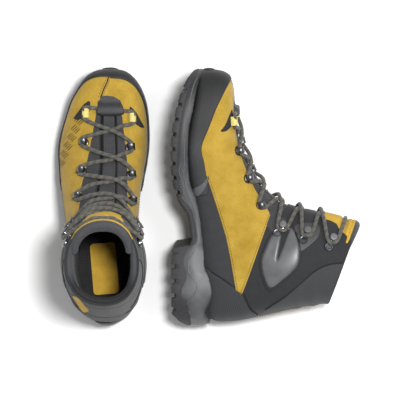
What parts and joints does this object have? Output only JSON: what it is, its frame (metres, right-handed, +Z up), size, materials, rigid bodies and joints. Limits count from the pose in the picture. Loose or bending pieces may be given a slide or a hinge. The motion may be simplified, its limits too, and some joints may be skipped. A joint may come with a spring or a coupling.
{
  "type": "mountaineering boots",
  "caption": "Pair of lace-up mountaineering boots with stiff lugged soles, a rubber rand, padded collars and lacing hooks; one stands and one lies on its side.",
  "frame": {"origin": "bottom centre of the pair's bounding box, on the ground", "axes": "+Z up, +Y from the heels to the toes, +X from the standing left boot to the lying right boot"},
  "size_m": [0.3518, 0.301, 0.2172],
  "materials": {
    "sole_rubber": "moulded black rubber, matt",
    "midsole_foam": "moulded grey foam with a smooth skin",
    "board": "pressed fibre board",
    "footbed_felt": "black felt with a plain yellow patch",
    "rand_rubber": "smooth dark grey rubber, satin",
    "suede": "yellow roughout leather",
    "textile": "dark grey coated textile",
    "cuff_textile": "dark grey stretch textile",
    "padding": "padded grey knit",
    "lining_mesh": "black mesh lining",
    "plate_rubber": "moulded grey plastic, satin",
    "webbing": "black woven webbing",
    "metal": "bright plated steel",
    "lace_cord": "round braided lace, taupe with dark and yellow flecks"
  },
  "bodies": {
    "left_foot": {"left_outsole": "sole_rubber", "left_midsole": "midsole_foam", "left_lasting_board": "board", "left_footbed": "footbed_felt", "left_rand": "rand_rubber", "left_quarter_medial": "suede", "left_quarter_lateral": "suede", "left_rear_panel": "textile", "left_tongue_base": "textile", "left_loop_medial": "webbing", "left_loop_lateral": "webbing", "left_eyelet_medial_1": "metal", "left_eyelet_medial_2": "metal", "left_eyelet_medial_3": "metal", "left_eyelet_lateral_1": "metal", "left_eyelet_lateral_2": "metal", "left_eyelet_lateral_3": "metal", "left_lining": "lining_mesh", "left_lace": "lace_cord"},
    "left_cuff": {"left_cuff": "cuff_textile", "left_collar": "padding", "left_tongue": "padding", "left_ankle_plate_medial": "plate_rubber", "left_ankle_plate_lateral": "plate_rubber", "left_hook_medial_1": "metal", "left_hook_medial_2": "metal", "left_hook_medial_3": "metal", "left_hook_lateral_1": "metal", "left_hook_lateral_2": "metal", "left_hook_lateral_3": "metal"},
    "right_foot": {"right_outsole": "sole_rubber", "right_midsole": "midsole_foam", "right_lasting_board": "board", "right_footbed": "footbed_felt", "right_rand": "rand_rubber", "right_quarter_medial": "suede", "right_quarter_lateral": "suede", "right_rear_panel": "textile", "right_tongue_base": "textile", "right_loop_medial": "webbing", "right_loop_lateral": "webbing", "right_eyelet_medial_1": "metal", "right_eyelet_medial_2": "metal", "right_eyelet_medial_3": "metal", "right_eyelet_lateral_1": "metal", "right_eyelet_lateral_2": "metal", "right_eyelet_lateral_3": "metal", "right_lining": "lining_mesh", "right_lace": "lace_cord"},
    "right_cuff": {"right_cuff": "cuff_textile", "right_collar": "padding", "right_tongue": "padding", "right_ankle_plate_medial": "plate_rubber", "right_ankle_plate_lateral": "plate_rubber", "right_hook_medial_1": "metal", "right_hook_medial_2": "metal", "right_hook_medial_3": "metal", "right_hook_lateral_1": "metal", "right_hook_lateral_2": "metal", "right_hook_lateral_3": "metal"}
  },
  "joints": [
    {"name": "left_ankle_flex", "type": "hinge", "parent": "left_foot", "child": "left_cuff", "pos_m": [-0.1198, -0.0726, 0.112], "axis": [-1, 0, 0], "range_deg": [-8, 12], "stiffness_Nm_per_rad": 25, "deforming": ["left_lining", "left_lace"]},
    {"name": "right_boot_slide", "type": "slide", "parent": "left_foot", "child": "right_foot", "axis": [1, 0, 0], "range_m": [0, 0.3]},
    {"name": "right_ankle_flex", "type": "hinge", "parent": "right_foot", "child": "right_cuff", "pos_m": [0.07132, -0.07258, 0.04905], "axis": [-0.0567, -0.1106, 0.9922], "range_deg": [-8, 12], "stiffness_Nm_per_rad": 25, "deforming": ["right_lining", "right_lace"]}
  ]
}
